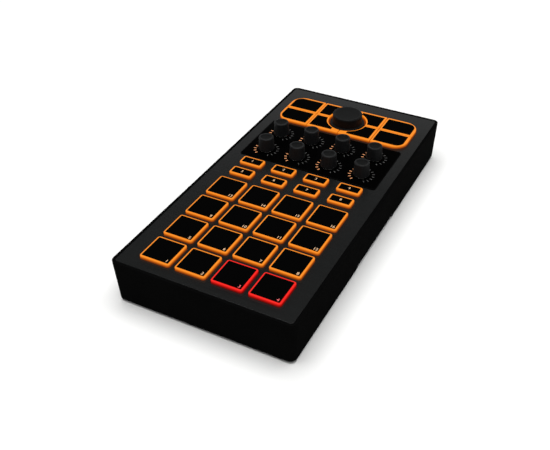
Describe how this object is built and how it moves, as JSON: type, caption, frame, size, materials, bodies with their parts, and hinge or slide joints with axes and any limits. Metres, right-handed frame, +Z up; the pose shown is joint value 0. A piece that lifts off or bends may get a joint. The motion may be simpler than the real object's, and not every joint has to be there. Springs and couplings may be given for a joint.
{
  "type": "drum pad controller",
  "caption": "Flat desktop music controller with lit square drum pads, lit keys, push-and-turn knobs with light rings and one large dial.",
  "frame": {"origin": "on the ground under the middle of the body, in the plane of the undersides of the four feet", "axes": "+Z up, +Y from the player towards the back wall with the cable socket, +X to the player's right"},
  "size_m": [0.125, 0.25, 0.0428],
  "materials": {
    "moulded_black_plastic": "fine matt texture",
    "brushed_dark_panel": "dark grey, faint brushed grain",
    "gloss_black_plate": "polished black with printed light windows",
    "lit_orange_silicone": "translucent cap glowing orange, opaque black face",
    "lit_red_silicone": "translucent cap glowing red, opaque black face",
    "soft_grey_knob": "soft-touch dark grey",
    "plated_steel": "plated",
    "circuit_board_green": "solder mask",
    "translucent_mat_rubber": "translucent silicone",
    "foot_rubber": "matt"
  },
  "bodies": {
    "body": {"housing_tray": "moulded_black_plastic", "top_panel": "brushed_dark_panel", "encoder_plate": "gloss_black_plate", "circuit_board": "circuit_board_green", "switch_mat": "translucent_mat_rubber", "usb_socket": "plated_steel", "rubber_foot_1": "foot_rubber", "rubber_foot_2": "foot_rubber", "rubber_foot_3": "foot_rubber", "rubber_foot_4": "foot_rubber"},
    "pad_01": {"pad_01": "lit_orange_silicone"},
    "pad_02": {"pad_02": "lit_orange_silicone"},
    "pad_03": {"pad_03": "lit_red_silicone"},
    "pad_04": {"pad_04": "lit_red_silicone"},
    "pad_05": {"pad_05": "lit_orange_silicone"},
    "pad_06": {"pad_06": "lit_orange_silicone"},
    "pad_07": {"pad_07": "lit_orange_silicone"},
    "pad_08": {"pad_08": "lit_orange_silicone"},
    "pad_09": {"pad_09": "lit_orange_silicone"},
    "pad_10": {"pad_10": "lit_orange_silicone"},
    "pad_11": {"pad_11": "lit_orange_silicone"},
    "pad_12": {"pad_12": "lit_orange_silicone"},
    "pad_13": {"pad_13": "lit_orange_silicone"},
    "pad_14": {"pad_14": "lit_orange_silicone"},
    "pad_15": {"pad_15": "lit_orange_silicone"},
    "pad_16": {"pad_16": "lit_orange_silicone"},
    "select_button_1": {"select_button_1": "lit_orange_silicone"},
    "select_button_2": {"select_button_2": "lit_orange_silicone"},
    "select_button_3": {"select_button_3": "lit_orange_silicone"},
    "select_button_4": {"select_button_4": "lit_orange_silicone"},
    "select_button_5": {"select_button_5": "lit_orange_silicone"},
    "select_button_6": {"select_button_6": "lit_orange_silicone"},
    "select_button_7": {"select_button_7": "lit_orange_silicone"},
    "select_button_8": {"select_button_8": "lit_orange_silicone"},
    "function_key_1": {"function_key_1": "lit_orange_silicone"},
    "function_key_2": {"function_key_2": "lit_orange_silicone"},
    "function_key_3": {"function_key_3": "lit_orange_silicone"},
    "function_key_4": {"function_key_4": "lit_orange_silicone"},
    "function_key_5": {"function_key_5": "lit_orange_silicone"},
    "function_key_6": {"function_key_6": "lit_orange_silicone"},
    "function_key_7": {"function_key_7": "lit_orange_silicone"},
    "function_key_8": {"function_key_8": "lit_orange_silicone"},
    "encoder_shaft_1": {"encoder_shaft_1": "plated_steel"},
    "encoder_knob_1": {"encoder_knob_1": "soft_grey_knob"},
    "encoder_shaft_2": {"encoder_shaft_2": "plated_steel"},
    "encoder_knob_2": {"encoder_knob_2": "soft_grey_knob"},
    "encoder_shaft_3": {"encoder_shaft_3": "plated_steel"},
    "encoder_knob_3": {"encoder_knob_3": "soft_grey_knob"},
    "encoder_shaft_4": {"encoder_shaft_4": "plated_steel"},
    "encoder_knob_4": {"encoder_knob_4": "soft_grey_knob"},
    "encoder_shaft_5": {"encoder_shaft_5": "plated_steel"},
    "encoder_knob_5": {"encoder_knob_5": "soft_grey_knob"},
    "encoder_shaft_6": {"encoder_shaft_6": "plated_steel"},
    "encoder_knob_6": {"encoder_knob_6": "soft_grey_knob"},
    "encoder_shaft_7": {"encoder_shaft_7": "plated_steel"},
    "encoder_knob_7": {"encoder_knob_7": "soft_grey_knob"},
    "encoder_shaft_8": {"encoder_shaft_8": "plated_steel"},
    "encoder_knob_8": {"encoder_knob_8": "soft_grey_knob"},
    "dial_shaft": {"dial_shaft": "plated_steel"},
    "dial_knob": {"dial_knob": "soft_grey_knob"}
  },
  "joints": [
    {"name": "pad_01_press", "type": "slide", "parent": "body", "child": "pad_01", "axis": [0, 0, -1], "range_m": [0, 0.001], "stiffness_N_per_m": 1500, "springref_m": -0.0003},
    {"name": "pad_02_press", "type": "slide", "parent": "body", "child": "pad_02", "axis": [0, 0, -1], "range_m": [0, 0.001], "stiffness_N_per_m": 1500, "springref_m": -0.0003},
    {"name": "pad_03_press", "type": "slide", "parent": "body", "child": "pad_03", "axis": [0, 0, -1], "range_m": [0, 0.001], "stiffness_N_per_m": 1500, "springref_m": -0.0003},
    {"name": "pad_04_press", "type": "slide", "parent": "body", "child": "pad_04", "axis": [0, 0, -1], "range_m": [0, 0.001], "stiffness_N_per_m": 1500, "springref_m": -0.0003},
    {"name": "pad_05_press", "type": "slide", "parent": "body", "child": "pad_05", "axis": [0, 0, -1], "range_m": [0, 0.001], "stiffness_N_per_m": 1500, "springref_m": -0.0003},
    {"name": "pad_06_press", "type": "slide", "parent": "body", "child": "pad_06", "axis": [0, 0, -1], "range_m": [0, 0.001], "stiffness_N_per_m": 1500, "springref_m": -0.0003},
    {"name": "pad_07_press", "type": "slide", "parent": "body", "child": "pad_07", "axis": [0, 0, -1], "range_m": [0, 0.001], "stiffness_N_per_m": 1500, "springref_m": -0.0003},
    {"name": "pad_08_press", "type": "slide", "parent": "body", "child": "pad_08", "axis": [0, 0, -1], "range_m": [0, 0.001], "stiffness_N_per_m": 1500, "springref_m": -0.0003},
    {"name": "pad_09_press", "type": "slide", "parent": "body", "child": "pad_09", "axis": [0, 0, -1], "range_m": [0, 0.001], "stiffness_N_per_m": 1500, "springref_m": -0.0003},
    {"name": "pad_10_press", "type": "slide", "parent": "body", "child": "pad_10", "axis": [0, 0, -1], "range_m": [0, 0.001], "stiffness_N_per_m": 1500, "springref_m": -0.0003},
    {"name": "pad_11_press", "type": "slide", "parent": "body", "child": "pad_11", "axis": [0, 0, -1], "range_m": [0, 0.001], "stiffness_N_per_m": 1500, "springref_m": -0.0003},
    {"name": "pad_12_press", "type": "slide", "parent": "body", "child": "pad_12", "axis": [0, 0, -1], "range_m": [0, 0.001], "stiffness_N_per_m": 1500, "springref_m": -0.0003},
    {"name": "pad_13_press", "type": "slide", "parent": "body", "child": "pad_13", "axis": [0, 0, -1], "range_m": [0, 0.001], "stiffness_N_per_m": 1500, "springref_m": -0.0003},
    {"name": "pad_14_press", "type": "slide", "parent": "body", "child": "pad_14", "axis": [0, 0, -1], "range_m": [0, 0.001], "stiffness_N_per_m": 1500, "springref_m": -0.0003},
    {"name": "pad_15_press", "type": "slide", "parent": "body", "child": "pad_15", "axis": [0, 0, -1], "range_m": [0, 0.001], "stiffness_N_per_m": 1500, "springref_m": -0.0003},
    {"name": "pad_16_press", "type": "slide", "parent": "body", "child": "pad_16", "axis": [0, 0, -1], "range_m": [0, 0.001], "stiffness_N_per_m": 1500, "springref_m": -0.0003},
    {"name": "select_button_1_press", "type": "slide", "parent": "body", "child": "select_button_1", "axis": [0, 0, -1], "range_m": [0, 0.0007], "stiffness_N_per_m": 1500, "springref_m": -0.0003},
    {"name": "select_button_2_press", "type": "slide", "parent": "body", "child": "select_button_2", "axis": [0, 0, -1], "range_m": [0, 0.0007], "stiffness_N_per_m": 1500, "springref_m": -0.0003},
    {"name": "select_button_3_press", "type": "slide", "parent": "body", "child": "select_button_3", "axis": [0, 0, -1], "range_m": [0, 0.0007], "stiffness_N_per_m": 1500, "springref_m": -0.0003},
    {"name": "select_button_4_press", "type": "slide", "parent": "body", "child": "select_button_4", "axis": [0, 0, -1], "range_m": [0, 0.0007], "stiffness_N_per_m": 1500, "springref_m": -0.0003},
    {"name": "select_button_5_press", "type": "slide", "parent": "body", "child": "select_button_5", "axis": [0, 0, -1], "range_m": [0, 0.0007], "stiffness_N_per_m": 1500, "springref_m": -0.0003},
    {"name": "select_button_6_press", "type": "slide", "parent": "body", "child": "select_button_6", "axis": [0, 0, -1], "range_m": [0, 0.0007], "stiffness_N_per_m": 1500, "springref_m": -0.0003},
    {"name": "select_button_7_press", "type": "slide", "parent": "body", "child": "select_button_7", "axis": [0, 0, -1], "range_m": [0, 0.0007], "stiffness_N_per_m": 1500, "springref_m": -0.0003},
    {"name": "select_button_8_press", "type": "slide", "parent": "body", "child": "select_button_8", "axis": [0, 0, -1], "range_m": [0, 0.0007], "stiffness_N_per_m": 1500, "springref_m": -0.0003},
    {"name": "function_key_1_press", "type": "slide", "parent": "body", "child": "function_key_1", "axis": [0, 0, -1], "range_m": [0, 0.0007], "stiffness_N_per_m": 1500, "springref_m": -0.0003},
    {"name": "function_key_2_press", "type": "slide", "parent": "body", "child": "function_key_2", "axis": [0, 0, -1], "range_m": [0, 0.0007], "stiffness_N_per_m": 1500, "springref_m": -0.0003},
    {"name": "function_key_3_press", "type": "slide", "parent": "body", "child": "function_key_3", "axis": [0, 0, -1], "range_m": [0, 0.0007], "stiffness_N_per_m": 1500, "springref_m": -0.0003},
    {"name": "function_key_4_press", "type": "slide", "parent": "body", "child": "function_key_4", "axis": [0, 0, -1], "range_m": [0, 0.0007], "stiffness_N_per_m": 1500, "springref_m": -0.0003},
    {"name": "function_key_5_press", "type": "slide", "parent": "body", "child": "function_key_5", "axis": [0, 0, -1], "range_m": [0, 0.0007], "stiffness_N_per_m": 1500, "springref_m": -0.0003},
    {"name": "function_key_6_press", "type": "slide", "parent": "body", "child": "function_key_6", "axis": [0, 0, -1], "range_m": [0, 0.0007], "stiffness_N_per_m": 1500, "springref_m": -0.0003},
    {"name": "function_key_7_press", "type": "slide", "parent": "body", "child": "function_key_7", "axis": [0, 0, -1], "range_m": [0, 0.0007], "stiffness_N_per_m": 1500, "springref_m": -0.0003},
    {"name": "function_key_8_press", "type": "slide", "parent": "body", "child": "function_key_8", "axis": [0, 0, -1], "range_m": [0, 0.0007], "stiffness_N_per_m": 1500, "springref_m": -0.0003},
    {"name": "encoder_1_press", "type": "slide", "parent": "body", "child": "encoder_shaft_1", "axis": [0, 0, -1], "range_m": [0, 0.0005], "stiffness_N_per_m": 4000, "springref_m": -0.0003},
    {"name": "encoder_1_turn", "type": "hinge", "parent": "encoder_shaft_1", "child": "encoder_knob_1", "pos_m": [-0.0375, 0.0521, 0.0375], "axis": [0, 0, 1], "continuous": true},
    {"name": "encoder_2_press", "type": "slide", "parent": "body", "child": "encoder_shaft_2", "axis": [0, 0, -1], "range_m": [0, 0.0005], "stiffness_N_per_m": 4000, "springref_m": -0.0003},
    {"name": "encoder_2_turn", "type": "hinge", "parent": "encoder_shaft_2", "child": "encoder_knob_2", "pos_m": [-0.0125, 0.0521, 0.0375], "axis": [0, 0, 1], "continuous": true},
    {"name": "encoder_3_press", "type": "slide", "parent": "body", "child": "encoder_shaft_3", "axis": [0, 0, -1], "range_m": [0, 0.0005], "stiffness_N_per_m": 4000, "springref_m": -0.0003},
    {"name": "encoder_3_turn", "type": "hinge", "parent": "encoder_shaft_3", "child": "encoder_knob_3", "pos_m": [0.0125, 0.0521, 0.0375], "axis": [0, 0, 1], "continuous": true},
    {"name": "encoder_4_press", "type": "slide", "parent": "body", "child": "encoder_shaft_4", "axis": [0, 0, -1], "range_m": [0, 0.0005], "stiffness_N_per_m": 4000, "springref_m": -0.0003},
    {"name": "encoder_4_turn", "type": "hinge", "parent": "encoder_shaft_4", "child": "encoder_knob_4", "pos_m": [0.0375, 0.0521, 0.0375], "axis": [0, 0, 1], "continuous": true},
    {"name": "encoder_5_press", "type": "slide", "parent": "body", "child": "encoder_shaft_5", "axis": [0, 0, -1], "range_m": [0, 0.0005], "stiffness_N_per_m": 4000, "springref_m": -0.0003},
    {"name": "encoder_5_turn", "type": "hinge", "parent": "encoder_shaft_5", "child": "encoder_knob_5", "pos_m": [-0.0375, 0.02815, 0.0375], "axis": [0, 0, 1], "continuous": true},
    {"name": "encoder_6_press", "type": "slide", "parent": "body", "child": "encoder_shaft_6", "axis": [0, 0, -1], "range_m": [0, 0.0005], "stiffness_N_per_m": 4000, "springref_m": -0.0003},
    {"name": "encoder_6_turn", "type": "hinge", "parent": "encoder_shaft_6", "child": "encoder_knob_6", "pos_m": [-0.0125, 0.02815, 0.0375], "axis": [0, 0, 1], "continuous": true},
    {"name": "encoder_7_press", "type": "slide", "parent": "body", "child": "encoder_shaft_7", "axis": [0, 0, -1], "range_m": [0, 0.0005], "stiffness_N_per_m": 4000, "springref_m": -0.0003},
    {"name": "encoder_7_turn", "type": "hinge", "parent": "encoder_shaft_7", "child": "encoder_knob_7", "pos_m": [0.0125, 0.02815, 0.0375], "axis": [0, 0, 1], "continuous": true},
    {"name": "encoder_8_press", "type": "slide", "parent": "body", "child": "encoder_shaft_8", "axis": [0, 0, -1], "range_m": [0, 0.0005], "stiffness_N_per_m": 4000, "springref_m": -0.0003},
    {"name": "encoder_8_turn", "type": "hinge", "parent": "encoder_shaft_8", "child": "encoder_knob_8", "pos_m": [0.0375, 0.02815, 0.0375], "axis": [0, 0, 1], "continuous": true},
    {"name": "dial_press", "type": "slide", "parent": "body", "child": "dial_shaft", "axis": [0, 0, -1], "range_m": [0, 0.0005], "stiffness_N_per_m": 4000, "springref_m": -0.0003},
    {"name": "dial_turn", "type": "hinge", "parent": "dial_shaft", "child": "dial_knob", "pos_m": [0, 0.0897, 0.035], "axis": [0, 0, 1], "continuous": true}
  ]
}
